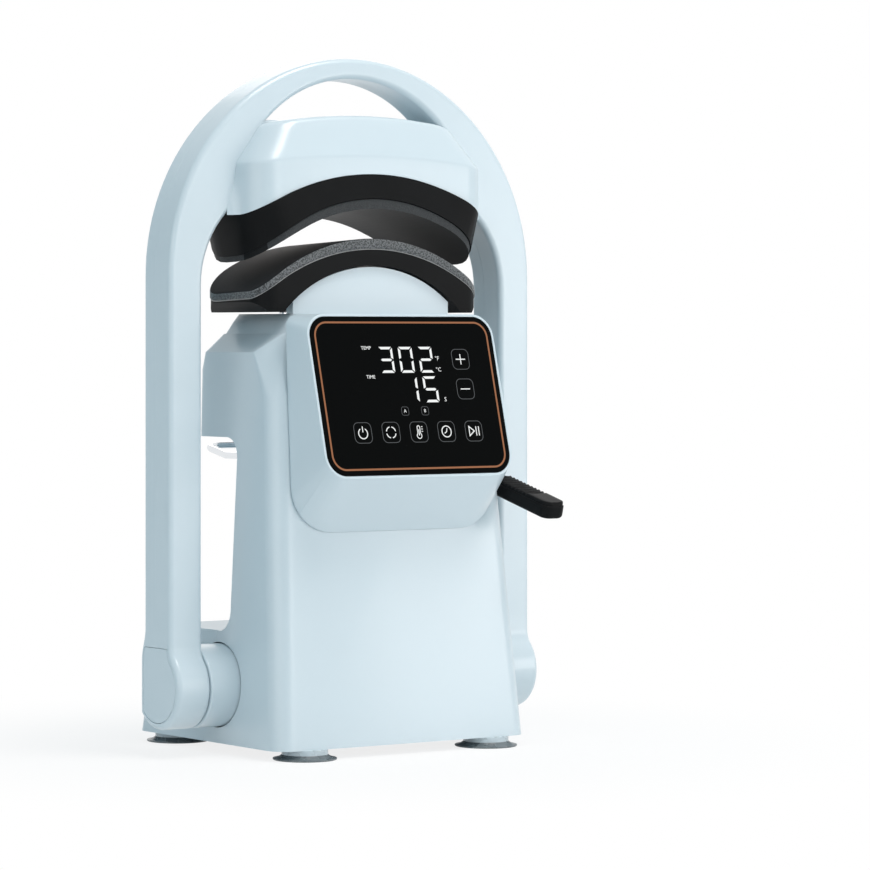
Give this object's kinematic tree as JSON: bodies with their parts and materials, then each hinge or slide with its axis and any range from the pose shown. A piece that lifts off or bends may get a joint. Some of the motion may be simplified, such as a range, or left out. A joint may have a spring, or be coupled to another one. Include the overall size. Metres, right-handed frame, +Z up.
{
  "type": "cap heat press",
  "caption": "Bench-top heat press for the front of a cap: a swinging arch carries a curved heater over a padded, motor-lifted platen; sloped touch panel, side lever and chrome bail.",
  "frame": {"origin": "on the table under the middle of the bounding box", "axes": "+X to the right of the person at the panel, +Y to the back, +Z up"},
  "size_m": [0.3, 0.209, 0.472],
  "materials": {
    "shell": "glossy pale blue moulded shell",
    "black_shell": "satin black moulding",
    "pan": "painted sheet",
    "glass": "black touch glass backed in black",
    "light": "copper-orange light line",
    "board": "circuit board",
    "foot": "pale soft suction foot",
    "steel": "plain steel",
    "chrome": "chrome plated",
    "bronze": "sintered bronze",
    "motor": "dark gearbox",
    "friction": "friction lining",
    "cam": "acetal",
    "cast": "cast, grey coated",
    "foam": "silicone foam with a grained top",
    "heater": "cast, dark non-stick coat",
    "element": "heat-tinted tube",
    "ceramic": "ceramic body"
  },
  "bodies": {
    "tower": {"base_pan": "pan", "front_shell": "shell", "base_rear_shell": "shell", "block_rear_shell": "shell", "platen_collar": "shell", "control_housing": "shell", "panel_glass": "glass", "light_line": "light", "display_board": "board", "power_board": "board", "power_inlet": "black_shell", "foot_front_left": "foot", "foot_front_right": "foot", "foot_rear_left": "foot", "foot_rear_right": "foot", "foot_screws": "steel", "chassis": "steel", "guide_bush_left": "bronze", "guide_bush_right": "bronze", "gear_motor": "motor", "motor_screws": "steel", "base_screws": "steel", "pivot_bracket_left": "steel", "pivot_bracket_right": "steel", "pivot_bush_left": "bronze", "pivot_bush_right": "bronze", "friction_washer_left": "friction", "friction_washer_right": "friction", "shaft_bush_left": "bronze", "shaft_bush_right": "bronze"},
    "cam": {"cam_shaft": "steel", "lift_cam": "cam"},
    "platen": {"platen_base": "cast", "foam_pad": "foam", "guide_post_left": "chrome", "guide_post_right": "chrome", "cam_follower": "steel"},
    "hold_down": {"lever_arm": "black_shell", "lever_grip": "black_shell", "lever_shaft": "steel", "lever_screw": "chrome", "cap_bail": "chrome", "bail_collar_left": "steel", "bail_collar_right": "steel", "shaft_clip": "steel"},
    "arch": {"arch_front_shell": "shell", "arch_rear_shell": "shell", "leg_cover_left": "shell", "leg_cover_right": "shell", "pivot_hub_left": "shell", "pivot_hub_right": "shell", "hub_screws": "steel", "arch_core": "steel", "head_front_cover": "shell", "head_rear_cover": "shell", "heater_shroud": "black_shell", "heater_plate": "heater", "heating_element": "element", "thermostat": "ceramic", "head_screws": "steel"}
  },
  "joints": [
    {"name": "arch_swing", "type": "hinge", "parent": "tower", "child": "arch", "pos_m": [0, 0.00111, 0.046], "axis": [-1, 0, 0], "range_deg": [0, 50]},
    {"name": "hold_down", "type": "hinge", "parent": "tower", "child": "hold_down", "pos_m": [0, -0.02289, 0.195], "axis": [-1, 0, 0], "range_deg": [0, 50]},
    {"name": "cam_turn", "type": "hinge", "parent": "tower", "child": "cam", "pos_m": [0, 0.00111, 0.25], "axis": [0, -1, 0], "range_deg": [0, 180]},
    {"name": "platen_lift", "type": "slide", "parent": "tower", "child": "platen", "axis": [0, 0, 1], "range_m": [0, 0.018]}
  ],
  "couplings": [
    {"joint": "cam_turn", "follows": "platen_lift", "rad_per_m": 174.53}
  ]
}
